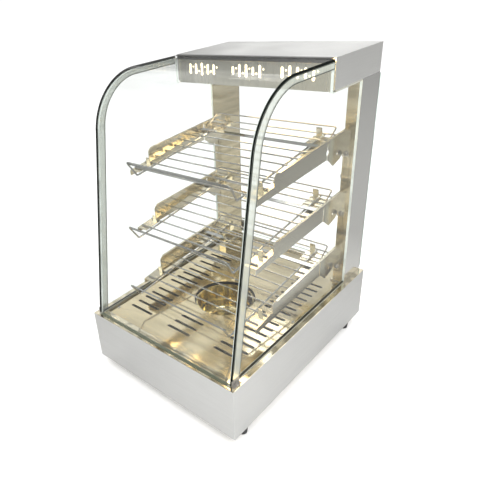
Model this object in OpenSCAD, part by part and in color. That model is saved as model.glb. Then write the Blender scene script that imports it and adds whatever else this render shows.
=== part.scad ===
// Countertop hot food display case: steel base with a water pan and heater, bent front glass,
// two rear posts, a lit canopy, three lift-off wire racks on side arms and a hinged rear door.
// Millimetres. Origin on the table under the middle of the case, +Z up, the bent glass faces -Y.

/* [Case] */
// overall width of the base
case_w = 370; // [340:1:400]
// overall depth of the base
case_d = 480; // [450:1:510]
// overall height from the table
case_h = 610; // [580:1:640]
// height of the rubber feet
foot_h = 20; // [12:1:30]
// height of the top of the base above the table
base_top = 134; // [120:1:150]
// sheet thickness of the base and canopy
sheet_t = 1.5; // [1:0.1:2]
// width across the glass, posts and canopy
upper_w = 346.4; // [330:0.2:360]

/* [Glass] */
// thickness of the glass panes
glass_t = 5; // [4:0.5:6]
// outside radius of the bend in the front glass
bend_r = 114; // [90:1:130]
// backward lean of the front glass in degrees
lean = 9.83; // [6:0.01:14]
// position of the foot of the front glass behind the middle of the case
foot_y = -233; // [-236:0.5:-225]
// width of the clear edge profile on the upright part
edge_band = 19; // [14:1:24]
// width of the clear edge profile along the top
edge_band_top = 11; // [8:1:14]

/* [Canopy] */
// front face of the canopy
canopy_y = 67; // [50:1:90]
// underside of the canopy
canopy_z = 558; // [540:1:570]

/* [Posts] */
// width of each rear post
post_w = 26; // [20:1:32]
// depth of each rear post
post_d = 70; // [55:1:80]
// sheet thickness of the posts
post_t = 1.2; // [1:0.1:2]

/* [Deck] */
// height of the slotted deck
deck_z = 130; // [124:0.5:132]
// diameter of the opening above the water pan
pan_hole = 130; // [110:1:140]
// length of the vent slots
slot_len = 62; // [50:1:66]
// width of the vent slots
slot_w = 6.5; // [3:0.5:7]
// spacing of the vent slots
slot_pitch = 20.9; // [18:0.1:24]
// number of vent slots in the row on each side
slot_count = 15; // [8:1:15]

/* [Shelves] */
// number of shelves
shelf_count = 3; // [1:1:3]
// spacing between shelves
shelf_pitch = 126; // [115:1:130]
// height of the top rack wires at the middle of the depth
rack_z = 440.5; // [430:0.5:450]
// downward tilt of the racks towards the front in degrees
rack_tilt = 6.8; // [3:0.1:9]
// diameter of the rack wires
wire_d = 3; // [2:0.1:4]
// spacing of the cross wires
wire_pitch = 28.7; // [20:0.1:32]
// number of cross wires
wire_count = 10; // [8:1:12]

/* [Door] */
// thickness of the door glass
door_t = 4; // [4:0.5:5]
// thickness of the seals between the posts and the door
seal_t = 1.2; // [1:0.1:2]
// height of the finger pull above the table
pull_z = 345; // [250:5:450]

/* [Hidden] */
hw = case_w / 2;
hd = case_d / 2;
uw = upper_w / 2;
post_in = uw - post_w;
post_y0 = hd - post_d;
glass_z0 = base_top + 1.4;
glass_top = case_h - 1.5;
web_t = 1.2;
tilt_k = tan(rack_tilt);
pan_y = -24;
rim_f = 25;
rim_s = 14;
screw_z = 418.7;
panel_y = hd - 4.5;
panel_z = 77;
panel_w = 264;
panel_h = 84;
door_y0 = hd + seal_t + 0.3;
door_y1 = door_y0 + door_t;
door_z0 = base_top + 4;
door_z1 = canopy_z - 4;
door_hw = uw - 0.4;
hinge_x = -uw - 4.8;
hinge_y = (door_y0 + door_y1) / 2;
pull_x = post_in - 16.7;
magnet_x = post_in + 13;
long_x = 117;
long_drop = -wire_d - 0.1;
bend_proud = 0.02;

// -------- shared helpers --------

module box(x0, x1, y0, y1, z0, z1) {
    translate([x0, y0, z0])
        cube([x1 - x0, y1 - y0, z1 - z0]);
}

module rod(a, b, d) {
    v = b - a;
    len = norm(v);
    translate(a)
        rotate([0, acos(v[2] / len), atan2(v[1], v[0])])
            cylinder(h = len, d = d, $fn = 24);
}

module ball(p, d) {
    translate(p)
        sphere(d = d, $fn = 24);
}

// lays a profile drawn in (y, z) across the width, from x0 to x1
module across(x0, x1) {
    translate([x0, 0, 0])
        rotate([90, 0, 90])
            linear_extrude(height = x1 - x0)
                children();
}

module round_slot(len, w) {
    square([len - w, w], center = true);
    for (s = [-1, 1])
        translate([s * (len - w) / 2, 0])
            circle(d = w, $fn = 24);
}

module mirror_if(flip) {
    mirror([flip ? 1 : 0, 0, 0])
        children();
}

// centre of a bend of radius r set in by os from the leaning face and ot from the top
function bend_z(r, ot) = glass_top - ot - r;
function bend_y(r, os, ot) =
    foot_y + ((r + os) + (bend_z(r, ot) - glass_z0) * sin(lean)) / cos(lean);
function lean_y(os, z) = foot_y + (z - glass_z0) * tan(lean) + os / cos(lean);

// filled (y, z) outline of the cabin side behind the bent glass; the bend stands bend_proud proud of the
// flats so that its face crosses theirs
module glass_region(os, ot, r, y_end, z_low) {
    yc = bend_y(r, os, ot);
    zc = bend_z(r, ot);
    difference() {
        polygon([[lean_y(os, z_low), z_low], [lean_y(os, zc + r), zc + r], [y_end, zc + r], [y_end, z_low]]);
        difference() {
            polygon([[yc, zc], [yc - 2 * r * cos(lean), zc + 2 * r * sin(lean)], [yc - 2 * r, zc + 2 * r],
                [yc, zc + 2 * r]]);
            translate([yc, zc])
                circle(r = r + bend_proud, $fn = 96);
        }
    }
}

function rack_line(y) = rack_z + tilt_k * y;
function shelf_drop(k) = -shelf_pitch * (k - 1);

// -------- base --------

module deck_opening(inset) {
    a = hw - rim_s - inset;
    b = post_in - 3 - inset;
    polygon([[-a, -hd + rim_f + inset], [a, -hd + rim_f + inset], [a, post_y0 - 4 - inset],
        [b, post_y0 - 4 - inset], [b, hd - 14 - inset], [-b, hd - 14 - inset],
        [-b, post_y0 - 4 - inset], [-a, post_y0 - 4 - inset]]);
}

module base_housing() {
    color([0.80, 0.80, 0.79]) {
        difference() {
            box(-hw, hw, -hd, hd, foot_h, base_top);
            box(-hw + sheet_t, hw - sheet_t, -hd + sheet_t, hd - sheet_t, foot_h + sheet_t,
                base_top - sheet_t);
            box(-hw + 26, hw - 26, -hd + 12, hd - 12, foot_h - 1, foot_h + 3);
            foot_positions()
                translate([0, 0, foot_h - 1])
                    cylinder(h = 4, d = 5.4, $fn = 24);
            translate([0, 0, base_top - 3])
                linear_extrude(height = 6)
                    deck_opening(0);
            box(-panel_w / 2 - 0.3, panel_w / 2 + 0.3, hd - 4, hd + 1, panel_z - panel_h / 2 - 0.3,
                panel_z + panel_h / 2 + 0.3);
        }
        difference() {
            panel_recess(0.3 + sheet_t, 0);
            panel_recess(0.3, 1);
            box(-122, 122, hd - 12, hd, panel_z - 34, panel_z + 34);
        }
        translate([0, 0, deck_z - 3])
            linear_extrude(height = base_top - deck_z + 3)
                difference() {
                    deck_opening(-1.5);
                    deck_opening(0);
                }
        translate([0, 0, deck_z - 3])
            linear_extrude(height = 1.5)
                difference() {
                    deck_opening(-1);
                    deck_opening(14);
                }
    }
}

// stepped tray that holds the control panel back from the rear face
module panel_recess(grow, out) {
    box(-panel_w / 2 - grow, panel_w / 2 + grow, panel_y - (out == 0 ? 3 : sheet_t), hd - 0.2 + 2 * out,
        panel_z - panel_h / 2 - grow, panel_z + panel_h / 2 + grow);
}

module base_floor() {
    color([0.62, 0.62, 0.61])
        difference() {
            box(-hw + 2, hw - 2, -hd + 2, hd - 2, foot_h + sheet_t, foot_h + sheet_t + 1.2);
            for (x = [-90 : 30 : 90])
                for (y = [-120 : 240 : 120])
                    translate([x, y, foot_h])
                        linear_extrude(height = 5)
                            round_slot(22, 5);
            foot_positions()
                translate([0, 0, foot_h])
                    cylinder(h = 5, d = 5.4, $fn = 24);
        }
}

module foot_positions() {
    for (x = [-hw + 13, hw - 13])
        for (y = [-hd + 40, hd - 50])
            translate([x, y, 0])
                children();
}

module feet() {
    color([0.05, 0.05, 0.05])
        foot_positions()
            difference() {
                rotate_extrude($fn = 48)
                    polygon([[0, 0], [8.2, 0], [9, 0.8], [10.5, foot_h - 2], [10.5, foot_h],
                        [0, foot_h]]);
                translate([0, 0, -1])
                    cylinder(h = 7, d = 9, $fn = 32);
                cylinder(h = foot_h + 2, d = 5.2, $fn = 24);
            }
}

module foot_screws() {
    color([0.70, 0.70, 0.72])
        foot_positions() {
            translate([0, 0, 6])
                cylinder(h = foot_h, d = 5.1, $fn = 24);
            translate([0, 0, 3.2])
                difference() {
                    cylinder(h = 2.75, d = 8.6, $fn = 32);
                    translate([0, 0, -0.5])
                        box(-0.6, 0.6, -3.4, 3.4, 0, 1.6);
                }
            translate([0, 0, foot_h + 2.7])
                cylinder(h = 3.2, d = 9.5, $fn = 6);
        }
}

module slot_field() {
    for (i = [0 : 2])
        translate([-3, -169 + i * slot_pitch])
            round_slot(slot_len - 4, slot_w);
    for (x = [-114, 114])
        for (i = [0 : slot_count - 1])
            translate([x, -164.5 + i * slot_pitch])
                round_slot(slot_len, slot_w);
}

module deck_plate() {
    color([0.83, 0.80, 0.72])
        translate([0, 0, deck_z - 1.5])
            linear_extrude(height = 1.5)
                difference() {
                    deck_opening(0.6);
                    slot_field();
                    translate([0, pan_y])
                        circle(d = pan_hole, $fn = 96);
                    deck_screw_spots()
                        circle(d = 3.4, $fn = 24);
                }
}

module deck_screw_spots() {
    for (x = [-hw + 25, hw - 25])
        for (y = [-190, -14, 150])
            translate([x, y])
                children();
}

module deck_screws() {
    color([0.45, 0.44, 0.42])
        deck_screw_spots()
            translate([0, 0, deck_z]) {
                difference() {
                    cylinder(h = 1.6, d = 6.4, $fn = 32);
                    box(-2.3, 2.3, -0.4, 0.4, 0.8, 2);
                    box(-0.4, 0.4, -2.3, 2.3, 0.8, 2);
                }
                translate([0, 0, -7])
                    cylinder(h = 7.2, d = 3.3, $fn = 24);
            }
}

module water_pan() {
    color([0.84, 0.78, 0.60])
        translate([0, pan_y, 0])
            rotate_extrude($fn = 96)
                polygon([[0, 59.6], [50, 59.6], [57, 64], [60, 71], [60, 123], [62.4, 123],
                    [62.4, 124.4], [58.6, 124.4], [58.6, 71.4], [56, 65.4], [49.6, 61],
                    [0, 61]]);
}

module heat_tray() {
    a = hw - 17;
    color([0.66, 0.65, 0.62])
        difference() {
            union() {
                box(-a, a, -205, 160, 58, 59.2);
                for (x = [-a, a - 1.2])
                    box(x, x + 1.2, -205, 160, 58, deck_z - 3);
                for (y = [-205, 158.8])
                    box(-a, a, y, y + 1.2, 58, 82);
            }
            for (x = [-130 : 52 : 130])
                translate([x, 125, 57])
                    linear_extrude(height = 4)
                        round_slot(30, 6);
        }
}

module heater_element() {
    r = 88;
    z = 96;
    a0 = 75;
    color([0.35, 0.33, 0.31]) {
        translate([0, pan_y, z])
            rotate([0, 0, 180 - a0])
                rotate_extrude(angle = 180 + 2 * a0, $fn = 96)
                    translate([r, 0])
                        circle(d = 8, $fn = 32);
        for (s = [-1, 1]) {
            translate([s * r * cos(a0), pan_y + r * sin(a0), z])
                sphere(d = 8, $fn = 32);
            translate([s * r * cos(a0), pan_y + r * sin(a0), z])
                rotate([-90, 0, 0])
                    cylinder(h = 70, d = 8, $fn = 32);
            translate([s * r * cos(a0), pan_y + r * sin(a0) + 69, z])
                rotate([-90, 0, 0])
                    cylinder(h = 14, d = 4, $fn = 24);
        }
    }
}

module heater_clips() {
    color([0.72, 0.72, 0.70])
        for (a = [180, 270, 0])
            translate([88 * cos(a), pan_y + 88 * sin(a), 59.2])
                rotate([0, 0, a]) {
                    difference() {
                        box(-7, 7, -5, 5, 0, 42);
                        translate([0, 8, 36.8])
                            rotate([90, 0, 0])
                                cylinder(h = 16, d = 8.5, $fn = 32);
                        box(-5.2, 5.2, -6, 6, 1.2, 30);
                        box(-4, 4, -6, 6, 36.8, 43);
                    }
                    box(-14, 14, -5, 5, 0, 1.2);
                }
}

module terminal_block() {
    color([0.90, 0.88, 0.82])
        difference() {
            box(-38, 38, 178, 200, foot_h + 2.7, foot_h + 20);
            for (i = [0 : 4])
                translate([-28 + i * 14, 189, foot_h + 12])
                    cylinder(h = 10, d = 7, $fn = 24);
            for (i = [0 : 3])
                box(-22 + i * 14, -20 + i * 14, 176, 202, foot_h + 14, foot_h + 21);
        }
}

// -------- rear controls --------

module control_panel() {
    color([0.78, 0.78, 0.77])
        translate([0, panel_y, 0])
            rotate([90, 0, 0])
                linear_extrude(height = sheet_t)
                    difference() {
                        translate([-panel_w / 2, panel_z - panel_h / 2])
                            square([panel_w, panel_h]);
                        translate([0, panel_z])
                            circle(d = 10.4, $fn = 32);
                        for (x = [-62, 62])
                            translate([x - 11, panel_z - 14.5])
                                square([22, 29]);
                        translate([-102, panel_z])
                            circle(d = 10.2, $fn = 32);
                        translate([106, panel_z - 18])
                            circle(d = 12.2, $fn = 32);
                        panel_screw_spots()
                            circle(d = 3.4, $fn = 24);
                    }
}

module panel_screw_spots() {
    for (x = [-127, 0, 127])
        for (z = [panel_z - 37, panel_z + 37])
            translate([x, z])
                children();
}

module panel_screws() {
    color([0.62, 0.62, 0.63])
        for (x = [-127, 0, 127])
            for (z = [panel_z - 37, panel_z + 37])
                translate([x, panel_y, z])
                    rotate([-90, 0, 0]) {
                        difference() {
                            cylinder(h = 1.8, d = 6.2, $fn = 32);
                            box(-2.2, 2.2, -0.4, 0.4, 0.9, 2);
                            box(-0.4, 0.4, -2.2, 2.2, 0.9, 2);
                        }
                        translate([0, 0, -6])
                            cylinder(h = 6.2, d = 3.3, $fn = 24);
                    }
}

module thermostat() {
    color([0.75, 0.74, 0.71])
        translate([0, panel_y - sheet_t, panel_z])
            rotate([90, 0, 0])
                difference() {
                    union() {
                        translate([0, 0, 1])
                            cylinder(h = 26, d = 44, $fn = 64);
                        translate([0, 0, -1.4])
                            cylinder(h = 4, d = 10.2, $fn = 32);
                        for (s = [-1, 1])
                            box(s * 16 - 2.5, s * 16 + 2.5, -16, -10, 26, 35);
                    }
                    translate([0, 0, -2])
                        cylinder(h = 18, d = 6.1, $fn = 32);
                }
}

module thermostat_knob() {
    y0 = panel_y + 0.8;
    color([0.07, 0.07, 0.07])
        translate([0, y0, panel_z])
            rotate([-90, 0, 0]) {
                difference() {
                    union() {
                        cylinder(h = 2, d = 40, $fn = 96);
                        translate([0, 0, 1.9])
                            cylinder(h = 9.8, d = 32, $fn = 96);
                    }
                    for (a = [0 : 20 : 340])
                        rotate([0, 0, a])
                            translate([17.2, 0, 3.4])
                                cylinder(h = 14, d = 4, $fn = 24);
                    box(-0.7, 0.7, 7, 15, 11.2, 13);
                }
                translate([0, 0, -15.5])
                    cylinder(h = 16, d = 6, $fn = 32);
            }
}

module switch_body(x) {
    color([0.08, 0.08, 0.08])
        translate([x, panel_y, panel_z])
            difference() {
                union() {
                    box(-12.5, 12.5, 0, 2, -16, 16);
                    box(-10.9, 10.9, -22, 0.2, -14.4, 14.4);
                    for (s = [-1, 1])
                        box(-3, 3, -30, -21, s * 8 - 0.4, s * 8 + 0.4);
                }
                box(-8.8, 8.8, -17, 3, -12.1, 12.1);
                translate([-10.4, -2.5, 0])
                    rotate([0, 90, 0])
                        cylinder(h = 20.8, d = 3.1, $fn = 32);
            }
}

module rocker(x) {
    translate([x, panel_y - 2.5, panel_z])
        rotate([-10, 0, 0]) {
            across(-8.4, 8.4)
                intersection() {
                    circle(r = 11.7, $fn = 96);
                    polygon([[-7, -7], [-7, 7], [0, 12], [8.4, 12], [6.1, 0], [8.4, -12], [0, -12]]);
                }
            translate([-10.1, 0, 0])
                rotate([0, 90, 0])
                    cylinder(h = 20.2, d = 3, $fn = 32);
        }
}

module power_switch() {
    switch_body(-62);
}

module power_rocker() {
    color([0.70, 0.10, 0.06])
        rocker(-62);
}

module light_switch() {
    switch_body(62);
}

module light_rocker() {
    color([0.12, 0.12, 0.12])
        rocker(62);
}

module pilot_lamp() {
    color([0.85, 0.35, 0.10])
        translate([-102, panel_y, panel_z])
            rotate([-90, 0, 0])
                rotate_extrude($fn = 48)
                    polygon([[0, -24], [5, -24], [5, 0], [7, 0], [7, 1.6], [5.4, 2.2], [4.6, 5.2],
                        [2.6, 7], [0, 7.6]]);
}

module cord_gland() {
    color([0.08, 0.08, 0.08])
        translate([106, panel_y, panel_z - 18])
            rotate([-90, 0, 0])
                difference() {
                    union() {
                        translate([0, 0, -12])
                            cylinder(h = 13, d = 12, $fn = 48);
                        cylinder(h = 4, d = 19, $fn = 6);
                        cylinder(h = 11, d1 = 15, d2 = 12.4, $fn = 48);
                        translate([0, 0, -7])
                            cylinder(h = 4, d = 18, $fn = 6);
                    }
                    translate([0, 0, -13])
                        cylinder(h = 30, d = 7.6, $fn = 32);
                }
}

// -------- posts and canopy --------

module post(flip) {
    color([0.79, 0.77, 0.70])
        mirror_if(flip)
            difference() {
                box(post_in, uw, post_y0, hd, base_top, canopy_z);
                box(post_in + post_t, uw - post_t, post_y0 + post_t, hd - post_t, base_top - 1,
                    canopy_z + 1);
                for (k = [1 : shelf_count])
                    translate([post_in + 7, post_y0 - 1, screw_z + shelf_drop(k)])
                        rotate([-90, 0, 0])
                            cylinder(h = 4, d = 4.2, $fn = 24);
                if (!flip)
                    translate([magnet_x, hd - 3, pull_z])
                        rotate([-90, 0, 0])
                            cylinder(h = 5, d = 12.2, $fn = 32);
            }
}

module post_left() {
    post(true);
}

module post_right() {
    post(false);
}

module canopy_cover() {
    t = sheet_t;
    color([0.86, 0.86, 0.84])
        difference() {
            box(-uw, uw, canopy_y, hd, canopy_z, case_h);
            box(-uw + t, uw - t, canopy_y - 1, hd - t, canopy_z - 1, case_h - t);
            for (i = [0 : 4])
                box(-60 + i * 26, -42 + i * 26, hd - 4, hd + 1, 585, 589);
        }
}

module canopy_liner() {
    color([0.80, 0.79, 0.76])
        difference() {
            union() {
                box(-uw + 2, uw - 2, canopy_y + 3.2, hd - 2, canopy_z + 0.3, canopy_z + 1.5);
                box(-uw + 2, uw - 2, hd - 3.2, hd - 2, canopy_z + 0.3, canopy_z + 14);
            }
            box(-116, 116, 92, 152, canopy_z - 1, canopy_z + 3);
        }
}

module canopy_screws() {
    color([0.62, 0.62, 0.63])
        for (x = [-150, 150])
            for (s = [0, 1])
                translate([x, hd, canopy_z + 10 + s * 30])
                    rotate([-90, 0, 0]) {
                        difference() {
                            cylinder(h = 1.6, d = 6, $fn = 32);
                            box(-2.1, 2.1, -0.4, 0.4, 0.8, 2);
                            box(-0.4, 0.4, -2.1, 2.1, 0.8, 2);
                        }
                        translate([0, 0, -5])
                            cylinder(h = 5.2, d = 3, $fn = 24);
                    }
}

// repeating steam-and-flame motif: rounded bars of changing height between small round dots
module fascia_cuts() {
    for (g = [0 : 2])
        translate([-108 + g * 106, 583])
            for (i = [-2 : 2]) {
                h = 9 + 9 * abs(cos(i * 60 + g * 30));
                translate([i * 15, 0])
                    rotate(90)
                        round_slot(h + 6, 5.5);
                translate([i * 15 + 7.5, (i % 2 == 0) ? 4 : -4])
                    circle(d = 4, $fn = 24);
            }
}

module fascia() {
    color([0.74, 0.73, 0.69])
        translate([0, canopy_y + sheet_t, 0])
            rotate([90, 0, 0])
                linear_extrude(height = sheet_t)
                    difference() {
                        union() {
                            translate([-uw + 1.8, canopy_z + 3])
                                square([upper_w - 3.6, 39]);
                            translate([-uw + 7.8, canopy_z - 3])
                                square([upper_w - 15.6, 8]);
                            for (s = [-1, 1])
                                translate([s * (uw - 7.8), canopy_z + 3])
                                    circle(r = 6, $fn = 48);
                        }
                        fascia_cuts();
                    }
}

module fascia_diffuser() {
    color([1.0, 0.93, 0.70])
        box(-162, 162, canopy_y + sheet_t, canopy_y + sheet_t + 2.4, 566, 599);
}

module lamp_tube() {
    color([1.0, 0.94, 0.76])
        translate([-136, 122, 582])
            rotate([0, 90, 0])
                cylinder(h = 272, d = 15, $fn = 48);
}

module lamp_holders() {
    color([0.92, 0.91, 0.88])
        for (s = [-1, 1])
            difference() {
                box(s * 136 - 10, s * 136 + 10, 110, 134, canopy_z + 1.5, 593);
                translate([-136, 122, 582])
                    rotate([0, 90, 0])
                        cylinder(h = 272, d = 15, $fn = 48);
            }
}

module lamp_lens() {
    color([1.0, 0.95, 0.80])
        difference() {
            box(-122, 122, 86, 158, canopy_z + 1.5, canopy_z + 4);
            box(-112, 112, 96, 148, canopy_z + 3.2, canopy_z + 5);
        }
}

// -------- glass --------

module front_glass() {
    y1 = canopy_y - 5.4;
    color([0.80, 0.90, 0.86])
        across(-uw, uw)
            difference() {
                glass_region(0, 0, bend_r, y1, glass_z0);
                glass_region(glass_t, glass_t, bend_r - glass_t, y1 + 5, glass_z0 - 5);
            }
}

module side_glass(flip) {
    g = glass_t + 0.3;
    color([0.80, 0.90, 0.86])
        mirror_if(flip)
            across(uw - glass_t, uw)
                difference() {
                    glass_region(g, g, bend_r - g, post_y0 - 0.5, glass_z0);
                    translate([canopy_y - 6, canopy_z - 3.4])
                        square([200, 100]);
                }
}

module side_glass_left() {
    side_glass(true);
}

module side_glass_right() {
    side_glass(false);
}

module edge_trim(flip) {
    g = glass_t + 0.3;
    r = bend_r - edge_band;
    color([0.80, 0.88, 0.82])
        mirror_if(flip)
            across(uw, uw + 1.6)
                difference() {
                    glass_region(g, g, bend_r - g, canopy_y - 7, glass_z0 + 0.2);
                    glass_region(edge_band + 4, edge_band_top + 4, r, canopy_y, glass_z0 - 5);
                }
}

module edge_trim_left() {
    edge_trim(true);
}

module edge_trim_right() {
    edge_trim(false);
}

module glass_gasket() {
    y0 = lean_y(0, glass_z0) - 0.6;
    y1 = lean_y(glass_t, glass_z0) + 0.6;
    color([0.10, 0.10, 0.10]) {
        box(-uw, uw, y0, y1, base_top, base_top + 1.4);
        for (x = [-uw - 0.6, uw - glass_t - 0.6])
            box(x, x + glass_t + 1.2, y1 - 0.2, post_y0 - 0.3, base_top, base_top + 1.4);
        for (s = [-1, 1])
            box(s * (uw - glass_t / 2) - glass_t / 2, s * (uw - glass_t / 2) + glass_t / 2,
                canopy_y + 4.2, post_y0 - 0.6, canopy_z - 3.3, canopy_z);
    }
}

module top_channel() {
    z1 = glass_top + 0.1;
    z0 = glass_top - glass_t - 0.1;
    color([0.16, 0.16, 0.15])
        across(-uw + glass_t + 0.4, uw - glass_t - 0.4)
            difference() {
                translate([canopy_y - 10, z0 - 1.6])
                    square([9.9, z1 - z0 + 3]);
                translate([canopy_y - 11, z0])
                    square([5.7, z1 - z0]);
            }
}

module corner_clips() {
    color([0.80, 0.80, 0.78])
        for (s = [0, 1])
            mirror_if(s == 1) {
                box(uw + 1.7, uw + 2.9, -231, -211, base_top, base_top + 12);
                box(uw + 1.7, uw + 8, -231, -211, base_top, base_top + 1.2);
                translate([uw + 5.4, -221, base_top + 1.1])
                    cylinder(h = 1.4, d = 4.4, $fn = 24);
            }
}

// -------- shelf arms --------

module arm_side(k) {
    yr = post_y0 - 0.1;
    difference() {
        union() {
            polygon([[yr, 465], [yr, 419.5], [158, 411], [132.8, 403.8], [112, 420.5],
                [104, 423], [-119, 413.6], [-119, rack_line(-119) - wire_d / 2 - 0.3],
                [-66, rack_line(-66) - wire_d / 2 - 0.3], [-66, 445], [-56, 452.6], [0, 455.6]]);
            translate([-57.6, 443.8])
                circle(r = 8.6, $fn = 48);
        }
        translate([106.5, 400])
            square([3, 58]);
        if (k == 1)
            translate([109, 436.2])
                circle(r = 5.2, $fn = 48);
        translate([147, 424])
            circle(r = 2.4, $fn = 24);
    }
}

// flat tab w wide on the inner side of the arm, lying along the tilted rack at height dz
module arm_ledge(y0, y1, w, dz) {
    translate([post_in - web_t - w, 0, rack_z])
        rotate([rack_tilt, 0, 0])
            translate([0, y0, dz - 1.2])
                cube([w + 0.2, y1 - y0, 1.2]);
}

// upright stop in front of a cross wire, from dz0 to dz1 above the wire axis
module arm_lug(i, x, w, dz0, dz1) {
    translate([x, 0, rack_z])
        rotate([rack_tilt, 0, 0])
            translate([0, rack_y(i) / cos(rack_tilt) - wire_d / 2 - 1.8, dz0])
                cube([w, 1.2, dz1 - dz0]);
}

module arm(k, flip) {
    x1 = post_in;
    x0 = post_in - web_t;
    top = -wire_d / 2 - 0.3;
    low = top - wire_d - 1;
    color([0.77, 0.75, 0.68])
        mirror_if(flip)
            translate([0, 0, shelf_drop(k)]) {
                across(x0, x1)
                    arm_side(k);
                across(x0, x1 + 4)
                    polygon([[-56, 452.6], [0, 455.6], [163, 464.8], [163, 463.6], [0, 454.4],
                        [-56, 451.4]]);
                difference() {
                    box(x0, x1 + 13, post_y0 - 1.3, post_y0 - 0.1, 411.5, 465);
                    translate([post_in + 7, post_y0 + 1, screw_z])
                        rotate([90, 0, 0])
                            cylinder(h = 4, d = 4.4, $fn = 24);
                }
                arm_ledge(-119, 106, 10, top);
                arm_ledge(-119, -76, 24, top);
                arm_ledge(52, 100, 24, top);
                arm_ledge(111, 149, 48, low);
                arm_lug(8, post_in - 21, 10, top - 1.2, 11);
                arm_lug(0, post_in - 45, 12, low - 1.2, 12);
            }
}

module arm_left_1() {
    arm(1, true);
}

module arm_left_2() {
    arm(2, true);
}

module arm_left_3() {
    arm(3, true);
}

module arm_right_1() {
    arm(1, false);
}

module arm_right_2() {
    arm(2, false);
}

module arm_right_3() {
    arm(3, false);
}

module arm_screw_spots() {
    for (k = [1 : shelf_count])
        for (s = [-1, 1])
            translate([s * (post_in + 7), post_y0 - 1.3, screw_z + shelf_drop(k)])
                rotate([90, 0, 0])
                    children();
}

module arm_washers() {
    color([0.84, 0.83, 0.80])
        arm_screw_spots()
            difference() {
                cylinder(h = 1, d = 11, $fn = 48);
                translate([0, 0, -1])
                    cylinder(h = 3, d = 4.3, $fn = 24);
            }
}

module arm_screws() {
    color([0.72, 0.71, 0.68])
        arm_screw_spots() {
            translate([0, 0, 1])
                difference() {
                    cylinder(h = 2.4, d1 = 7.2, d2 = 5.4, $fn = 32);
                    box(-2.2, 2.2, -0.45, 0.45, 1.2, 3);
                    box(-0.45, 0.45, -2.2, 2.2, 1.2, 3);
                }
            translate([0, 0, -8])
                cylinder(h = 9.2, d = 4.1, $fn = 24);
        }
}

// -------- wire racks --------

function rack_y(i) = 149.8 - wire_pitch * i;
function on_rack(x, y, dz) = [x, y, rack_line(y) + dz];

// how far in front of the middle of the case the front rail of a rack lies
function rail_y(k) = -148 - 16 * (k - 1);

// flat grid of one rack: cross wires welded on two long wires, and a stop bar
module rack(k) {
    xe = post_in - web_t - 2.4;
    ld = wire_d + 0.6;
    y_back = rack_y(0) + 3;
    color([0.80, 0.80, 0.80])
        translate([0, 0, shelf_drop(k)]) {
            for (i = [0 : wire_count - 1])
                translate(on_rack(-xe, rack_y(i), 0))
                    rotate([0, 90, 0])
                        cylinder(h = 2 * xe, d = wire_d, $fn = 24);
            for (x = [-long_x, long_x]) {
                rod(on_rack(x, rail_y(k) + 22.25, long_drop), on_rack(x, y_back, long_drop), ld);
                ball(on_rack(x, y_back, long_drop), ld + 0.5);
            }
            across(-xe + 1, xe - 1)
                polygon([[84, rack_line(84) + 1.2], [93.4, rack_line(93.4) + 1.2],
                    [93.4, rack_line(93.4) + 3.2], [84, rack_line(84) + 3.2]]);
        }
}

// bent wires at the ends of one rack: the front rail with its second wire, and the rear stop
module rack_guards(k) {
    ry = rail_y(k);
    rz = rack_line(ry) + 31;
    xr = long_x + 4;
    xb = post_in - web_t - 5;
    weld = 1.35 / wire_pitch;
    color([0.80, 0.80, 0.80])
        translate([0, 0, shelf_drop(k)]) {
            for (s = [-1, 1]) {
                rod([s * xr, ry, rz], on_rack(s * long_x, ry + 20, long_drop), wire_d + 0.4);
                ball([s * xr, ry, rz], wire_d + 1.3);
                ball(on_rack(s * long_x, ry + 20, long_drop), wire_d + 1.3);
                rod(on_rack(s * xb, rack_y(1 - weld), 15 * weld), on_rack(s * xb, rack_y(0), 15),
                    wire_d - 0.4);
                ball(on_rack(s * xb, rack_y(0), 15), wire_d + 0.5);
            }
            translate(on_rack(-xb, rack_y(0), 15))
                rotate([0, 90, 0])
                    cylinder(h = 2 * xb, d = wire_d, $fn = 24);
            rod([-xr, ry, rz], [xr, ry, rz], wire_d + 0.4);
            rod([-xr - 1, ry + 5, rz - 5], [xr + 1, ry + 5, rz - 5], wire_d + 0.2);
        }
}

module rack_1() {
    rack(1);
}

module rack_2() {
    rack(2);
}

module rack_3() {
    rack(3);
}

module rack_guards_1() {
    rack_guards(1);
}

module rack_guards_2() {
    rack_guards(2);
}

module rack_guards_3() {
    rack_guards(3);
}

// -------- rear door --------

module door_glass() {
    color([0.80, 0.90, 0.86])
        difference() {
            box(-door_hw, door_hw, door_y0, door_y1, door_z0, door_z1);
            translate([pull_x, door_y0 - 1, pull_z])
                rotate([-90, 0, 0])
                    cylinder(h = door_t + 2, d = 30.4, $fn = 64);
        }
}

// knuckle and plate bonded to the outside of the door pane
module door_hinge(z0, z1) {
    difference() {
        union() {
            translate([hinge_x, hinge_y, z0])
                cylinder(h = z1 - z0, d = 8, $fn = 48);
            box(hinge_x, -uw + 32, door_y1, door_y1 + 2.4, z0 + 1, z1 - 1);
        }
        translate([hinge_x, hinge_y, z0 - 1])
            cylinder(h = z1 - z0 + 2, d = 5.1, $fn = 48);
    }
}

module door_hinges() {
    color([0.72, 0.72, 0.71]) {
        door_hinge(base_top + 2.6, base_top + 34);
        door_hinge(canopy_z - 35, canopy_z - 1.6);
    }
}

module hinge_brackets() {
    color([0.70, 0.70, 0.69]) {
        box(-hw + 0.6, -uw - 0.8, 216, hd + 7.5, base_top, base_top + 2);
        translate([hinge_x, hinge_y, base_top + 1])
            cylinder(h = 22, d = 5, $fn = 48);
        box(-hw + 0.6, -uw, 212, hd + 7.5, canopy_z - 1, canopy_z + 1);
        box(-uw - 1.6, -uw, 212, 238, canopy_z - 1, canopy_z + 26);
        translate([hinge_x, hinge_y, canopy_z - 23])
            cylinder(h = 23, d = 5, $fn = 48);
        for (y = [219, 231])
            translate([-uw - 1.6, y, canopy_z + 16])
                rotate([0, -90, 0])
                    cylinder(h = 1.4, d = 5.4, $fn = 24);
    }
}

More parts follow.
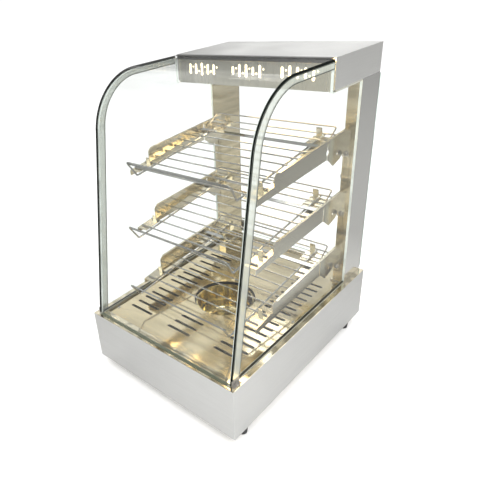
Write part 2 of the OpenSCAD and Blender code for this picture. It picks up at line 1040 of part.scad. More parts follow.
module finger_pull() {
    color([0.06, 0.06, 0.06])
        translate([pull_x, door_y1, pull_z])
            rotate([-90, 0, 0])
                rotate_extrude($fn = 96)
                    polygon([[0, -13], [13, -13], [15, -11], [15, 0], [17.4, 0], [17.4, 0.8], [16.4, 1.8],
                        [11.8, 1.8], [11.8, 0.2], [13.4, -1.4], [13.4, -9.8], [11.8, -11.4],
                        [0, -11.4]]);
}

module door_seals() {
    color([0.04, 0.04, 0.04])
        difference() {
            for (s = [-1, 1])
                box(s * (post_in + post_w / 2) - post_w / 2, s * (post_in + post_w / 2) + post_w / 2,
                    hd, hd + seal_t, base_top + 2, canopy_z - 2);
            translate([magnet_x, hd - 1, pull_z])
                rotate([-90, 0, 0])
                    cylinder(h = 4, d = 17, $fn = 48);
            box(-hw, -post_in - 16, hd - 1, hd + 3, base_top, base_top + 36);
            box(-hw, -post_in - 16, hd - 1, hd + 3, canopy_z - 37, canopy_z);
        }
}

module latch_magnet() {
    color([0.12, 0.12, 0.12])
        translate([magnet_x, hd - 4, pull_z])
            rotate([-90, 0, 0])
                cylinder(h = 4.5, d = 12, $fn = 48);
}

module latch_plate() {
    color([0.70, 0.70, 0.70])
        translate([magnet_x, door_y0 - 0.6, pull_z])
            rotate([-90, 0, 0])
                cylinder(h = 0.6, d = 14, $fn = 48);
}

base_housing();
base_floor();
feet();
foot_screws();
deck_plate();
deck_screws();
water_pan();
heat_tray();
heater_element();
heater_clips();
terminal_block();
thermostat();
thermostat_knob();
control_panel();
panel_screws();
power_switch();
power_rocker();
light_switch();
light_rocker();
pilot_lamp();
cord_gland();
post_left();
post_right();
canopy_cover();
canopy_liner();
canopy_screws();
fascia();
fascia_diffuser();
lamp_tube();
lamp_holders();
lamp_lens();
front_glass();
side_glass_left();
side_glass_right();
edge_trim_left();
edge_trim_right();
glass_gasket();
top_channel();
corner_clips();
arm_left_1();
arm_left_2();
arm_left_3();
arm_right_1();
arm_right_2();
arm_right_3();
arm_screws();
arm_washers();
rack_1();
rack_2();
rack_3();
rack_guards_1();
rack_guards_2();
rack_guards_3();
door_glass();
door_hinges();
hinge_brackets();
door_seals();
finger_pull();
latch_magnet();
latch_plate();
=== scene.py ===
import math

import bmesh
import bpy
from mathutils import Matrix, Vector


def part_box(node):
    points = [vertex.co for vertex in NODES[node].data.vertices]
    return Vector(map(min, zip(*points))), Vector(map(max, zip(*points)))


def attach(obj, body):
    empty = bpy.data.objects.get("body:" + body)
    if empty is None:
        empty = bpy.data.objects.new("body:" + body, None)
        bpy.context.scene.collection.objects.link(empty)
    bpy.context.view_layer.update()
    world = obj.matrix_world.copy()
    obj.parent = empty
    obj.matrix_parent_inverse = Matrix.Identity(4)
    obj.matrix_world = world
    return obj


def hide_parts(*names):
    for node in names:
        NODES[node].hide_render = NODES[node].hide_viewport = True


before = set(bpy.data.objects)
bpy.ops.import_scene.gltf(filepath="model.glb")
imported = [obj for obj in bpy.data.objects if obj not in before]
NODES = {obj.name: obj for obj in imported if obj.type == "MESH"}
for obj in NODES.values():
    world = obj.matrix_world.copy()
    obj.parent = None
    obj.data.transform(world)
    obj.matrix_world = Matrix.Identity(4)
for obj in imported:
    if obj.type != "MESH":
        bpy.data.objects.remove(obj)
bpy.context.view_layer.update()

MM = 0.001

# half the width of the case, and how far out the side panes start
CASE_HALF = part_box("base_housing")[1][0]
SIDE_PANE_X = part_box("side_glass_right")[0][0]

# the bodies that the racks ride on, by the racks' numbers
RACK_BODIES = {1: "rack_top", 2: "rack_middle", 3: "rack_bottom"}

# -------- shader building --------

# sockets of Blender's Mix node when it mixes colours, which share their names with its other sockets
MIX_FIRST_COLOUR = 6
MIX_SECOND_COLOUR = 7
MIX_COLOUR_RESULT = 2

# how much of the light a pane mirrors
MIRROR_HEAD_ON = 0.035
MIRROR_GRAZING = 0.5


class Shader:
    """The nodes of a material, or of the world, with short calls for the ones used here."""

    def __init__(self, owner, output="OutputMaterial"):
        self.owner = owner
        self.owner.use_nodes = True
        self.tree = self.owner.node_tree
        self.tree.nodes.clear()
        self.output = self.tree.nodes.new("ShaderNode" + output)
        self.coordinates = self.tree.nodes.new("ShaderNodeTexCoord")

    @classmethod
    def material(cls, name):
        return cls(bpy.data.materials.new(name))

    def node(self, kind, inputs=None, **settings):
        """Adds a node, sets its properties, and links or sets its inputs by name or number."""
        made = self.tree.nodes.new("ShaderNode" + kind)
        for key, value in settings.items():
            setattr(made, key, value)
        for key, value in (inputs or {}).items():
            socket = made.inputs[key]
            if isinstance(value, bpy.types.NodeSocket):
                self.tree.links.new(value, socket)
            else:
                socket.default_value = value
        return made

    def place(self, scale):
        """The object's own position in metres, stretched by three scales."""
        mapping = self.node("Mapping", {"Vector": self.coordinates.outputs["Object"], "Scale": scale})
        return mapping.outputs["Vector"]

    def along(self, source, axis):
        """One part of the object's own normal or position, or of the world's direction."""
        return self.node("SeparateXYZ", {"Vector": self.coordinates.outputs[source]}).outputs[axis]

    def calc(self, operation, *values):
        return self.node("Math", dict(enumerate(values)), operation=operation).outputs[0]

    def facing(self, axis):
        """How squarely the surface faces along one of the object's own axes, from 0 to 1."""
        return self.calc("ABSOLUTE", self.along("Normal", axis))

    def outward(self):
        """1 on faces that look away from the middle of the case to its left or right, else 0."""
        lever = self.calc("MULTIPLY", self.along("Normal", "X"), self.along("Object", "X"))
        return self.spread(lever, 0, 1, 0.05, 0.10)

    def noise(self, scale, detail=3.0, roughness=0.55):
        made = self.node("TexNoise", {"Vector": self.place(scale), "Scale": 1.0, "Detail": detail,
                                      "Roughness": roughness})
        return made.outputs["Fac"]

    def spread(self, value, low, high, start=0.3, end=0.7):
        """Maps a value to a range, from the middle of a noise's own range unless another is given."""
        made = self.node("MapRange", {"Value": value, "From Min": start, "From Max": end,
                                      "To Min": low, "To Max": high})
        return made.outputs["Result"]

    def blend(self, amount, first, second, blend_type="MIX"):
        """Mixes two colours, each a colour or another node's output."""
        made = self.node("Mix", {"Factor": amount}, data_type="RGBA", blend_type=blend_type)
        for place, value in ((MIX_FIRST_COLOUR, first), (MIX_SECOND_COLOUR, second)):
            if isinstance(value, bpy.types.NodeSocket):
                self.tree.links.new(value, made.inputs[place])
            else:
                made.inputs[place].default_value = (*value, 1)
        return made.outputs[MIX_COLOUR_RESULT]

    def darken(self, tone, amount, towards):
        """Multiplies a colour by another, more where the amount is higher."""
        return self.blend(amount, tone, towards, "MULTIPLY")

    def bump(self, height, distance, under=None):
        """A normal from a height, laid over the normal of a finer one where that is given."""
        made = self.node("Bump", {"Height": height, "Distance": distance})
        if under:
            self.tree.links.new(under, made.inputs["Normal"])
        return made.outputs["Normal"]

    def mirror_share(self):
        """How much a pane mirrors: little head on, and more and more towards a grazing look."""
        grazing = self.node("LayerWeight", {"Blend": 0.5}).outputs["Facing"]
        return self.spread(self.calc("POWER", grazing, 5.0), MIRROR_HEAD_ON, MIRROR_GRAZING, 0.0, 1.0)

    def mix_surfaces(self, amount, first, second):
        """The first surface where the amount is 0, and the second where it is 1."""
        return self.node("MixShader", {0: amount, 1: first, 2: second}).outputs[0]

    def in_reflections(self):
        """1 where a ray comes from a mirror-like surface, else 0."""
        return self.node("LightPath").outputs["Is Glossy Ray"]

    def principled(self, **inputs):
        named = {key.replace("_", " "): value for key, value in inputs.items()}
        return self.node("BsdfPrincipled", named).outputs[0]

    def finish(self, surface):
        self.tree.links.new(surface, self.output.inputs["Surface"])
        return self.owner


def shade(colour, factor):
    return tuple(min(1.0, c * factor) for c in colour)


# -------- materials --------

WHITE = (1, 1, 1, 1)

# how many times a pattern repeats in a metre along x, y and z: seldom along the rolling marks of a sheet,
# and often across them
ALONG, ACROSS = 14, 900
BANDS_ALONG = 2
GRAIN_LEVEL = (ALONG, ALONG, ACROSS)
GRAIN_ACROSS = (ALONG, ACROSS, ACROSS)
GRAIN_UPRIGHT = (ACROSS, ACROSS, ALONG)
MOULD_GRAIN = (1400, 1400, 1400)


def banded(grain, count):
    """The same direction as a grain, with broad bands instead of fine streaks."""
    return tuple(count if scale == ACROSS else BANDS_ALONG for scale in grain)


def steel(name, colour, rough, grain, streak=0.10, bump=6e-6, cloud=0.05, bands=0.0, band_count=55, wave=0.0,
          side_painted_tone=None, lamp_lit_top_colour=None, top_rough=None, lamp_glow_right_colour=None):
    """Sheet steel with rolled or brushed streaks along one direction and faint cloudy stains.

    Bands are broad light and dark bars along the grain, and wave is the sheet's own slight unevenness.
    The faces on the outer left and right may have a painted tone of their own for how the light falls on
    them, the level faces a finer polish and a painted warm lamp-lit colour, darker in soft patches, and the
    whole may be painted warmer towards the right, a painted glow of the lamp.
    """
    s = Shader.material(name)
    fine = s.noise(grain, detail=5.0, roughness=0.7)
    broad = s.noise((9, 9, 7), detail=2.0)
    roughness = s.calc("ADD", s.spread(fine, rough - streak / 2, rough + streak / 2),
                       s.spread(broad, -cloud, cloud))
    tone = s.blend(s.spread(broad, 0, 1), shade(colour, 0.955), shade(colour, 1.02))
    if bands:
        bars = s.noise(banded(grain, band_count), detail=2.0, roughness=0.6)
        tone = s.darken(tone, s.spread(bars, 0, bands, 0.42, 0.62), shade(colour, 0.35))
    # painted glow: the colour is painted warmer towards the right, where the lamp's glow falls
    if lamp_glow_right_colour:
        tone = s.blend(s.spread(s.along("Object", "X"), 0, 1, -CASE_HALF, CASE_HALF), tone, lamp_glow_right_colour)
    # painted light and shade: the outer left and right faces get a tone of their own for how the light falls
    # on them
    if side_painted_tone:
        tone = s.blend(s.outward(), tone, side_painted_tone)
    # painted lamp light: the level faces are painted a warm lit colour, darker in soft patches
    if lamp_lit_top_colour:
        patches = s.noise((38, 38, 38), detail=1.0)
        level = s.blend(s.spread(patches, 0, 1, 0.42, 0.55), shade(lamp_lit_top_colour, 0.66), lamp_lit_top_colour)
        tone = s.blend(s.spread(s.facing("Z"), 0, 1, 0.6, 0.95), tone, level)
        roughness = s.calc("ADD", roughness, s.spread(s.facing("Z"), 0, top_rough - rough, 0.6, 0.95))
    tone = s.darken(tone, s.spread(fine, 0, 0.10), shade(colour, 0.55))
    normal = s.bump(fine, bump)
    if wave:
        normal = s.bump(s.noise((16, 16, 16), detail=1.0), wave, under=normal)
    return s.finish(s.principled(Base_Color=tone, Metallic=1.0, Roughness=roughness, Normal=normal))


def chrome(name, colour, rough):
    """Bright plated wire and screws with tiny pits and handling marks."""
    s = Shader.material(name)
    pits = s.noise((1500, 1500, 1500), detail=2.0)
    marks = s.noise((60, 60, 60), detail=4.0)
    roughness = s.calc("ADD", s.spread(marks, rough, rough + 0.10, 0.4, 0.75), s.spread(pits, 0, 0.03))
    tone = s.blend(s.spread(marks, 0, 1), shade(colour, 0.80), colour)
    return s.finish(s.principled(Base_Color=tone, Metallic=1.0, Roughness=roughness,
                                 Normal=s.bump(pits, 4e-6)))


def moulded(name, colour, rough, bump=2.5e-5, coat=0.0):
    """Moulded plastic or rubber with a fine grain and slightly dusty highlights."""
    s = Shader.material(name)
    grain = s.noise(MOULD_GRAIN, detail=3.0)
    dust = s.noise((45, 45, 45), detail=5.0)
    tone = s.blend(s.spread(dust, 0, 1, 0.35, 0.8), colour, tuple(c * 0.8 + 0.045 for c in colour))
    roughness = s.calc("ADD", s.spread(grain, rough - 0.06, rough + 0.06), s.spread(dust, -0.04, 0.08))
    return s.finish(s.principled(Base_Color=tone, Roughness=roughness, Coat_Weight=coat,
                                 Normal=s.bump(grain, bump)))


def glowing(name, colour, strength):
    """A lit diffuser: opal sheet with an even warm glow and a faint unevenness."""
    s = Shader.material(name)
    cloud = s.noise((30, 30, 30), detail=2.0)
    tone = s.blend(s.spread(cloud, 0, 1), shade(colour, 0.88), colour)
    return s.finish(s.principled(Base_Color=tone, Roughness=0.4, Emission_Color=tone,
                                 Emission_Strength=strength))


def pane(name, edge_axis, edge_is_high, edge, left_edge_reflection=None):
    """Clear float glass: see-through faces with a mirror sheen, and edges of their own colour.

    The edges are the faces whose own normal does, or does not, lie along one axis. The ground end on
    the left may be painted paler than the other, a painted reflection.
    """
    s = Shader.material(name)
    low, high = (0.0, 1.0) if edge_is_high else (1.0, 0.0)
    is_edge = s.spread(s.facing(edge_axis), low, high, 0.45, 0.8)
    smear = s.noise((25, 25, 25), detail=4.0)
    clear = s.node("BsdfTransparent", {"Color": (0.975, 0.982, 0.978, 1)}).outputs[0]
    smeared = s.spread(smear, 0.0, 0.035, 0.5, 0.8)
    sheen = s.node("BsdfGlossy", {"Color": WHITE, "Roughness": smeared}).outputs[0]
    tone = s.blend(s.spread(smear, 0, 1), edge, shade(edge, 1.5))
    # painted reflection: the pane's edge is painted paler at its left end
    if left_edge_reflection:
        tone = s.blend(s.spread(s.along("Normal", "X"), 1, 0, -0.5, 0.5), tone, left_edge_reflection)
    rim = s.principled(Base_Color=tone, Roughness=0.5, Specular_IOR_Level=0.08)
    return s.finish(s.mix_surfaces(is_edge, s.mix_surfaces(s.mirror_share(), clear, sheen), rim))


def clear_profile(name, colour, cover):
    """Extruded clear profile along the glass edges: milky, half see-through, with dark outer edges."""
    s = Shader.material(name)
    lines = s.noise((20, 900, 20), detail=3.0)
    clear = s.node("BsdfTransparent", {"Color": (0.97, 0.985, 0.97, 1)}).outputs[0]
    milk = s.principled(Base_Color=s.blend(s.spread(lines, 0, 1), shade(colour, 0.93), colour), Roughness=0.3)
    broad = s.mix_surfaces(s.spread(lines, cover - 0.06, cover + 0.06), clear, milk)
    thin = s.principled(Base_Color=(0.10, 0.11, 0.09, 1), Roughness=s.spread(lines, 0.3, 0.45))
    return s.finish(s.mix_surfaces(s.spread(s.facing("X"), 0, 1, 0.4, 0.7), thin, broad))


def bedding(name, front, sides):
    """The strip under the panes: dark green under the front pane and pale beside the side panes."""
    s = Shader.material(name)
    out = s.calc("ABSOLUTE", s.along("Object", "X"))
    grain = s.noise((700, 700, 700), detail=2.0)
    tone = s.blend(s.spread(out, 0, 1, SIDE_PANE_X - 2 * MM, SIDE_PANE_X),
                   s.blend(s.spread(grain, 0, 1), front, shade(front, 1.3)),
                   s.blend(s.spread(grain, 0, 1), shade(sides, 0.9), sides))
    return s.finish(s.principled(Base_Color=tone, Roughness=s.spread(grain, 0.3, 0.42),
                                 Normal=s.bump(grain, 1e-5)))


def make_materials():
    return {
        # painted lamp light: the housing's level faces are painted a warm lit colour
        "housing": steel("satin_housing", (0.67, 0.67, 0.66), 0.40, GRAIN_LEVEL,
                         lamp_lit_top_colour=(0.98, 0.90, 0.70), top_rough=0.10),
        # painted light: the canopy's outer left and right sides are painted lighter
        "canopy": steel("satin_canopy", (0.75, 0.75, 0.735), 0.40, GRAIN_LEVEL,
                        side_painted_tone=(0.97, 0.97, 0.955)),
        # painted lamp light: the deck's warm gold stands for the lamp's light reflected in the steel
        "deck": steel("bright_deck", (0.98, 0.86, 0.60), 0.10, GRAIN_ACROSS, streak=0.06, bump=4e-6,
                      cloud=0.03, bands=0.25, band_count=30, wave=5e-4),
        # painted lamp light and shade: gold on the inner faces for the lamp's light, grey on the outer sides
        "upright": steel("bright_upright", (0.97, 0.86, 0.62), 0.17, GRAIN_LEVEL, streak=0.08, bands=0.45,
                         wave=3e-4, side_painted_tone=(0.74, 0.74, 0.73)),
        # painted lamp light and shade: pale gold inside for the lamp's light, darker grey-olive on the outer
        # sides
        "arm": steel("bright_arm", (0.96, 0.90, 0.74), 0.22, GRAIN_LEVEL, bands=0.25, band_count=90,
                     wave=2e-4, side_painted_tone=(0.53, 0.505, 0.44)),
        # painted lamp light: the pan's gold stands for the lamp's light reflected in it
        "pan": steel("polished_pan", (0.88, 0.77, 0.47), 0.09, GRAIN_UPRIGHT, streak=0.05, bands=0.8,
                     band_count=60, wave=3e-4),
        # painted glow: the fascia turns warmer and lighter towards the right, where the lamp glows
        "fascia": steel("brushed_fascia", (0.95, 0.93, 0.87), 0.33, GRAIN_UPRIGHT, streak=0.2, bands=0.3,
                        band_count=40, lamp_glow_right_colour=(1.0, 0.95, 0.80)),
        "hidden": steel("galvanised_inner", (0.62, 0.62, 0.60), 0.45, GRAIN_ACROSS),
        "wire": chrome("plated_wire", (0.62, 0.62, 0.60), 0.03),
        # painted shade: the rails are the same plating as the wires, given a darker colour
        "rail": chrome("darkened_plated_rail", (0.44, 0.44, 0.43), 0.03),
        "screw": chrome("plated_screw", (0.62, 0.60, 0.57), 0.2),
        "rubber": moulded("black_rubber", (0.018, 0.018, 0.018), 0.62),
        "bedding": bedding("pane_bedding", (0.10, 0.115, 0.08), (0.42, 0.42, 0.36)),
        "plastic": moulded("black_plastic", (0.022, 0.022, 0.023), 0.42),
        "channel": moulded("dark_channel", (0.09, 0.09, 0.085), 0.38),
        "red": moulded("red_rocker", (0.55, 0.03, 0.02), 0.22, coat=0.4, bump=6e-6),
        "gloss": moulded("gloss_rocker", (0.03, 0.03, 0.03), 0.2, coat=0.4, bump=6e-6),
        "amber": moulded("amber_lens", (0.80, 0.24, 0.03), 0.15, coat=0.6, bump=4e-6),
        "ceramic": moulded("white_ceramic", (0.84, 0.82, 0.76), 0.5, bump=1e-5),
        "heater": moulded("dark_sheath", (0.10, 0.085, 0.075), 0.5, bump=1e-5),
        "glow": glowing("lit_diffuser", (1.0, 0.86, 0.58), 4.0),
        "lens": glowing("lit_lens", (1.0, 0.80, 0.50), 9.0),
        "lamp": glowing("lit_tube", (1.0, 0.84, 0.60), 12.0),
        # painted reflection: the left end of the front pane's edge is painted paler
        "front_glass": pane("bent_pane", "X", True, (0.004, 0.006, 0.005), left_edge_reflection=(0.55, 0.58, 0.56)),
        "side_glass": pane("side_pane", "X", False, (0.62, 0.66, 0.62)),
        "door_glass": pane("door_pane", "Y", False, (0.35, 0.42, 0.38)),
        "bead": moulded("profile_edge", (0.055, 0.065, 0.05), 0.4, bump=4e-6),
        "profile": clear_profile("clear_profile", (0.58, 0.61, 0.55), 0.5),
    }


NODE_LOOKS = {
    "housing": ["base_housing", "control_panel", "hinge_brackets", "door_hinges"],
    "canopy": ["canopy_cover"],
    "deck": ["deck_plate"],
    "upright": ["post_left", "post_right", "canopy_liner"],
    "arm": [f"arm_{side}_{k}" for side in ("left", "right") for k in RACK_BODIES],
    "pan": ["water_pan"],
    "fascia": ["fascia"],
    "hidden": ["base_floor", "heat_tray", "heater_clips", "thermostat"],
    "wire": [f"{part}_{k}" for part in ("rack", "rack_guards") for k in RACK_BODIES],
    "screw": ["foot_screws", "deck_screws", "panel_screws", "canopy_screws", "arm_screws", "arm_washers",
              "corner_clips", "latch_plate"],
    "rubber": ["feet", "door_seals"],
    "bedding": ["glass_gasket"],
    "plastic": ["thermostat_knob", "power_switch", "light_switch", "cord_gland", "finger_pull"],
    "channel": ["top_channel", "latch_magnet"],
    "red": ["power_rocker"],
    "gloss": ["light_rocker"],
    "amber": ["pilot_lamp"],
    "ceramic": ["terminal_block", "lamp_holders"],
    "heater": ["heater_element"],
    "glow": ["fascia_diffuser"],
    "lens": ["lamp_lens"],
    "lamp": ["lamp_tube"],
    "front_glass": ["front_glass"],
    "side_glass": ["side_glass_left", "side_glass_right"],
    "door_glass": ["door_glass"],
    "profile": ["edge_trim_left", "edge_trim_right"],
}

# how far sharp edges are rounded: on the nodes whose edges show, and on all the others
EDGE_ROUND = {
    "base_housing": 0.9 * MM, "canopy_cover": 0.7 * MM, "post_left": 0.8 * MM, "post_right": 0.8 * MM,
    "fascia": 0.35 * MM, "deck_plate": 0.25 * MM, "top_channel": 0.3 * MM, "corner_clips": 0.3 * MM,
    "control_panel": 0.3 * MM, "front_glass": 0.6 * MM, "side_glass_left": 0.5 * MM,
    "side_glass_right": 0.5 * MM, "door_glass": 0.5 * MM, "hinge_brackets": 0.3 * MM,
    "door_hinges": 0.5 * MM, "feet": 0.6 * MM, "thermostat_knob": 0.4 * MM,
}
SMALL_ROUND = 0.2 * MM
SHARP_ANGLE = math.radians(40)
WELD_DISTANCE = 0.001 * MM


def dress_nodes(looks):
    for look, names in NODE_LOOKS.items():
        for name in names:
            slots = NODES[name].data.materials
            slots.clear()
            slots.append(looks[look])
    for name in NODES:
        soften(NODES[name], EDGE_ROUND.get(name, SMALL_ROUND))


def soften(obj, width):
    """Joins the faces that meet and rounds the sharp edges between them."""
    weld = obj.modifiers.new("weld", "WELD")
    weld.merge_threshold = WELD_DISTANCE
    bevel = obj.modifiers.new("edges", "BEVEL")
    bevel.width = width
    bevel.segments = 2
    bevel.limit_method = "ANGLE"
    bevel.angle_limit = SHARP_ANGLE
    bevel.harden_normals = True


# -------- added pieces --------

# the front pane's lean, and the two lines that the beads follow: how far they are inside the pane's outer
# face, and the radius of their bend
LEAN = math.radians(9.83)
TRIM_SIDE_INSET = 23 * MM
TRIM_TOP_INSET = 15 * MM
TRIM_BEND = 95 * MM
PANE_INSET = 5 * MM
PANE_BEND = 109 * MM
BEND_STEPS = 24
TRIM_BEAD_R = 1.1 * MM
PANE_BEAD_R = 0.8 * MM
BEAD_END_GAP = 1 * MM

# the racks: the top one's height at the middle of the case, their slope and spacing, and their wires
RACK_MIDDLE_Z = 440.5 * MM
RACK_SLOPE = math.tan(math.radians(6.8))
RACK_SPACING = 126 * MM
CROSS_WIRE_Y = [(149.8 - 28.7 * i) * MM for i in range(10)]
LONG_WIRE_X = 117 * MM
LONG_WIRE_DROP = -3.1 * MM
WIRE_D = 3 * MM
WELD_R = 0.72 * WIRE_D
WELD_SQUASH = (1.0, 1.15, 0.5, 1)
FRONT_RAIL_Y = -148 * MM
FRONT_RAIL_STEP = 16 * MM
FRONT_RAIL_X = LONG_WIRE_X + 4 * MM
FRONT_FOOT_BACK = 20 * MM
FRONT_RAIL_RISE = 31 * MM
FRONT_RAIL_BEND = 7 * MM
FRONT_RAIL_R = 1.7 * MM
SECOND_RAIL_OUT = 1 * MM
SECOND_RAIL_DROP = 5 * MM
SECOND_RAIL_R = 1.6 * MM
REAR_STOP_X = 141 * MM
REAR_STOP_RISE = 15 * MM
REAR_STOP_BEND = 6 * MM
REAR_STOP_R = 1.4 * MM
REAR_FOOT_BACK = 1.35 * MM
REAR_FOOT_RISE = 0.7 * MM
CORNER_STEPS = 6

# the ticks round the dial
TICKS = 11
TICK_SWEEP = 270
TICK_GAP = 2.2 * MM
TICK_LONG = 4.4 * MM
TICK_SHORT = 2.6 * MM
TICK_WIDTH = 0.8 * MM
TICK_DEPTH = 0.3 * MM
TICK_CHAMFER = 0.1 * MM


def add_piece(name, data, look, body, slot, *stands_for):
    """Puts a mesh or curve in the scene on a body, in place of the CAD nodes that it stands for."""
    piece = bpy.data.objects.new(name, data)
    data.materials.append(look)
    bpy.context.scene.collection.objects.link(piece)
    if stands_for:
        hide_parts(*stands_for)
    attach(piece, body)


def tube(name, points, radius):
    """A round bead or wire swept along a row of points."""
    curve = bpy.data.curves.new(name, "CURVE")
    curve.dimensions = "3D"
    curve.bevel_depth = radius
    curve.bevel_resolution = 3
    curve.use_fill_caps = True
    spline = curve.splines.new("POLY")
    spline.points.add(len(points) - 1)
    for place, point in zip(spline.points, points):
        place.co = (*point, 1)
    return curve


def beside_pane(side_inset, top_inset, bend):
    """A line inside the front pane's outer face, as (y, z): up the lean, round the bend, to the canopy."""
    low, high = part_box("front_glass")
    foot_y, foot_z, top = low[1], low[2], high[2]
    centre_z = top - top_inset - bend
    centre_y = foot_y + (bend + side_inset + (centre_z - foot_z) * math.sin(LEAN)) / math.cos(LEAN)
    line = [(foot_y + side_inset / math.cos(LEAN), foot_z + BEAD_END_GAP)]
    for step in range(BEND_STEPS + 1):
        turn = LEAN + (math.pi / 2 - LEAN) * step / BEND_STEPS
        line.append((centre_y - bend * math.cos(turn), centre_z + bend * math.sin(turn)))
    line.append((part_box("edge_trim_right")[1][1] - BEAD_END_GAP, top - top_inset))
    return line


def add_trim_beads(looks):
    """Dark beads along both edges of each clear profile."""
    for side in ("left", "right"):
        low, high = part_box("edge_trim_" + side)
        x = high[0] - PANE_BEAD_R if side == "right" else low[0] + PANE_BEAD_R
        for name, radius, line in (
                ("trim_bead_", TRIM_BEAD_R, beside_pane(TRIM_SIDE_INSET, TRIM_TOP_INSET, TRIM_BEND)),
                ("pane_bead_", PANE_BEAD_R, beside_pane(PANE_INSET, PANE_INSET, PANE_BEND))):
            points = [(x, y, z) for y, z in line]
            add_piece(name + side, tube(name + side, points, radius), looks["bead"], "case", "channel_dark")


def rack_point(k, x, y, rise):
    """A point above or below the sloping plane through the middles of rack k's cross wires."""
    return Vector((x, y, RACK_MIDDLE_Z - RACK_SPACING * (k - 1) + RACK_SLOPE * y + rise))


def rounded(corners, radius):
    """The corners' path with each inner corner turned into a smooth bend."""
    path = [corners[0]]
    for before, corner, after in zip(corners, corners[1:], corners[2:]):
        start = corner + (before - corner).normalized() * radius
        end = corner + (after - corner).normalized() * radius
        for i in range(CORNER_STEPS + 1):
            t = i / CORNER_STEPS
            path.append(start * (1 - t) ** 2 + corner * 2 * t * (1 - t) + end * t * t)
    path.append(corners[-1])
    return path


def joined(name, curves):
    """Several wires as one mesh, with smooth sides."""
    bm = bmesh.new()
    for curve in curves:
        holder = bpy.data.objects.new("wire_sweep", curve)
        mesh = bpy.data.meshes.new_from_object(holder)
        bm.from_mesh(mesh)
        bpy.data.objects.remove(holder)
        bpy.data.curves.remove(curve)
        bpy.data.meshes.remove(mesh)
    for face in bm.faces:
        face.smooth = True
    made = bpy.data.meshes.new(name)
    bm.to_mesh(made)
    bm.free()
    return made


def add_rack_wires(looks):
    """The raised wires of each rack, swept: the bent front rail, a second rail and the bent rear stop."""
    for k, body in RACK_BODIES.items():
        front_y = FRONT_RAIL_Y - FRONT_RAIL_STEP * (k - 1)
        rail_z = rack_point(k, 0, front_y, 0).z + FRONT_RAIL_RISE
        foot = rack_point(k, LONG_WIRE_X, front_y + FRONT_FOOT_BACK, LONG_WIRE_DROP)
        rear_foot = rack_point(k, REAR_STOP_X, CROSS_WIRE_Y[1] + REAR_FOOT_BACK, REAR_FOOT_RISE)
        mirror = Vector((-1, 1, 1))
        rail_end = Vector((FRONT_RAIL_X, front_y, rail_z))
        front = [foot, rail_end, rail_end * mirror, foot * mirror]
        second_end = rail_end + Vector((SECOND_RAIL_OUT, SECOND_RAIL_DROP, -SECOND_RAIL_DROP))
        second = [second_end, second_end * mirror]
        rear_top = rack_point(k, REAR_STOP_X, CROSS_WIRE_Y[0], REAR_STOP_RISE)
        rear = [rear_foot, rear_top, rear_top * mirror, rear_foot * mirror]
        wires = joined(f"bent_wires_{k}", [
            tube("front_rail", rounded(front, FRONT_RAIL_BEND), FRONT_RAIL_R),
            tube("second_rail", second, SECOND_RAIL_R),
            tube("rear_stop", rounded(rear, REAR_STOP_BEND), REAR_STOP_R)])
        add_piece(f"bent_wires_{k}", wires, looks["rail"], body, "wire_chrome", f"rack_guards_{k}")


def add_weld_beads(looks):
    """The small flattened weld at every crossing of a rack's cross wires and long wires."""
    for k, body in RACK_BODIES.items():
        mesh = bpy.data.meshes.new(f"weld_beads_{k}")
        bm = bmesh.new()
        for y in CROSS_WIRE_Y:
            for x in (-LONG_WIRE_X, LONG_WIRE_X):
                place = rack_point(k, x, y, -WIRE_D / 2)
                squashed = Matrix.Translation(place) @ Matrix.Diagonal(WELD_SQUASH)
                bmesh.ops.create_icosphere(bm, subdivisions=2, radius=WELD_R, matrix=squashed)
        for face in bm.faces:
            face.smooth = True
        bm.to_mesh(mesh)
        bm.free()
        add_piece(f"weld_beads_{k}", mesh, looks["wire"], body, "wire_chrome")


def add_dial_ticks(looks):
    """Raised ticks round the thermostat knob, longer at the ends and the middle of the turn."""
    low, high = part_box("thermostat_knob")
    centre = Vector(((low[0] + high[0]) / 2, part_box("control_panel")[1][1], (low[2] + high[2]) / 2))
    inner = (high[0] - low[0]) / 2 + TICK_GAP
    mesh = bpy.data.meshes.new("dial_ticks")
    bm = bmesh.new()
    for i in range(TICKS):
        turn = math.radians(TICK_SWEEP * (i / (TICKS - 1) - 0.5))
        length = TICK_LONG if i in (0, TICKS // 2, TICKS - 1) else TICK_SHORT
        place = (Matrix.Translation(centre) @ Matrix.Rotation(turn, 4, "Y")
                 @ Matrix.Translation((0, 0, inner + length / 2))
                 @ Matrix.Diagonal((TICK_WIDTH, TICK_DEPTH, length, 1)))
        bmesh.ops.create_cube(bm, size=1.0, matrix=place)
    bmesh.ops.bevel(bm, geom=list(bm.edges), offset=TICK_CHAMFER, segments=1, affect="EDGES")
    bm.to_mesh(mesh)
    bm.free()
    add_piece("dial_ticks", mesh, looks["plastic"], "case", "black_plastic")


# -------- studio --------

# the camera stands to the right of the front of the case and above it; angles are in degrees
CAMERA_AT = (0.5581, -0.7101, 0.7403)
CAMERA_AZIMUTH = 47.97
CAMERA_ELEVATION = 27.98
CAMERA_ROLL = -6.55
CAMERA_LENS = 36.63
CAMERA_SHIFT = (0.1758, 0.0109)


def make_camera():
    az, el, roll = (math.radians(a) for a in (CAMERA_AZIMUTH, CAMERA_ELEVATION, CAMERA_ROLL))
    back = Vector((math.sin(az) * math.cos(el), -math.cos(az) * math.cos(el), math.sin(el)))
    right = (-back).cross(Vector((0, 0, 1))).normalized()
    up = right.cross(-back)
    rolled_right = right * math.cos(roll) + up * math.sin(roll)
    rolled_up = up * math.cos(roll) - right * math.sin(roll)
    turn = Matrix((rolled_right, rolled_up, back)).transposed().to_4x4()
    data = bpy.data.cameras.new("camera")
    data.lens = CAMERA_LENS
    data.shift_x, data.shift_y = CAMERA_SHIFT
    camera = bpy.data.objects.new("camera", data)
    camera.matrix_world = Matrix.Translation(CAMERA_AT) @ turn
    bpy.context.scene.collection.objects.link(camera)
    bpy.context.scene.camera = camera


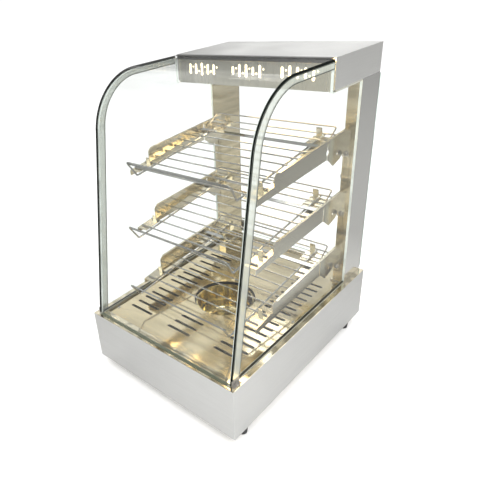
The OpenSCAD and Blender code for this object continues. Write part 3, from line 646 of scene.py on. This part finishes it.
CASE_MIDDLE = Vector((0, 0, 0.3))
FLOOR_HALF = 60.0
# where on the floor the steel's reflections are brightest
REFLECTED_BRIGHT_SPOT = (0.30, -0.35, 0.0)


def make_floor():
    """A pale floor that reads as plain white, and as a mid grey where the steel reflects it."""
    mesh = bpy.data.meshes.new("floor")
    corners = [(x * FLOOR_HALF, y * FLOOR_HALF, 0) for x, y in ((-1, -1), (1, -1), (1, 1), (-1, 1))]
    mesh.from_pydata(corners, [], [(0, 1, 2, 3)])
    floor = bpy.data.objects.new("floor", mesh)
    bpy.context.scene.collection.objects.link(floor)
    s = Shader.material("pale_floor")
    cloud = s.noise((3, 3, 3), detail=2.0)
    tone = s.blend(s.spread(cloud, 0, 1), (0.93, 0.93, 0.93), (0.96, 0.96, 0.96))
    seen = s.principled(Base_Color=tone, Roughness=0.9, Emission_Color=WHITE, Emission_Strength=0.15)
    away = s.node("VectorMath", {0: s.coordinates.outputs["Object"], 1: REFLECTED_BRIGHT_SPOT},
                  operation="DISTANCE").outputs["Value"]
    reflected = s.principled(Base_Color=s.blend(s.spread(away, 0, 1, 0.25, 1.0), (0.86, 0.86, 0.85),
                                               (0.38, 0.38, 0.37)), Roughness=0.9)
    mesh.materials.append(s.finish(s.mix_surfaces(s.in_reflections(), seen, reflected)))


def make_world():
    """White to the eye, and in reflections a graded studio with soft lighter and darker areas."""
    s = Shader(bpy.data.worlds.new("studio"), "OutputWorld")
    white = s.node("Background", {"Color": WHITE, "Strength": 1.05}).outputs[0]
    ramp = s.node("ValToRGB", {0: s.along("Generated", "Z")})
    low, high = ramp.color_ramp.elements
    low.color = (0.26, 0.26, 0.255, 1)
    high.color = (0.84, 0.84, 0.84, 1)
    middle = ramp.color_ramp.elements.new(0.35)
    middle.color = (0.60, 0.60, 0.59, 1)
    blobs = s.node("TexNoise", {"Vector": s.coordinates.outputs["Generated"], "Scale": 2.2, "Detail": 1.0})
    strength = s.spread(blobs.outputs["Fac"], 0.18, 1.4, 0.4, 0.6)
    graded = s.node("Background", {"Color": ramp.outputs[0], "Strength": strength}).outputs[0]
    bpy.context.scene.world = s.finish(s.mix_surfaces(s.in_reflections(), white, graded))


def area_light(name, at, size, power):
    """A white rectangle of light that faces the middle of the case."""
    data = bpy.data.lights.new(name, "AREA")
    data.shape = "RECTANGLE"
    data.size, data.size_y = size
    data.energy = power
    light = bpy.data.objects.new(name, data)
    light.location = at
    light.rotation_euler = (CASE_MIDDLE - Vector(at)).to_track_quat("-Z", "Y").to_euler()
    bpy.context.scene.collection.objects.link(light)


def make_lights():
    area_light("key", (1.6, -0.9, 2.0), (1.6, 1.2), 26)
    area_light("left_fill", (-1.8, -1.4, 1.2), (1.4, 1.4), 7)
    area_light("back_top", (-0.2, 1.6, 2.2), (2.0, 1.0), 18)


looks = make_materials()
dress_nodes(looks)
add_trim_beads(looks)
add_rack_wires(looks)
add_weld_beads(looks)
add_dial_ticks(looks)
make_floor()
make_world()
make_lights()
make_camera()
bpy.context.scene.view_settings.view_transform = "Standard"
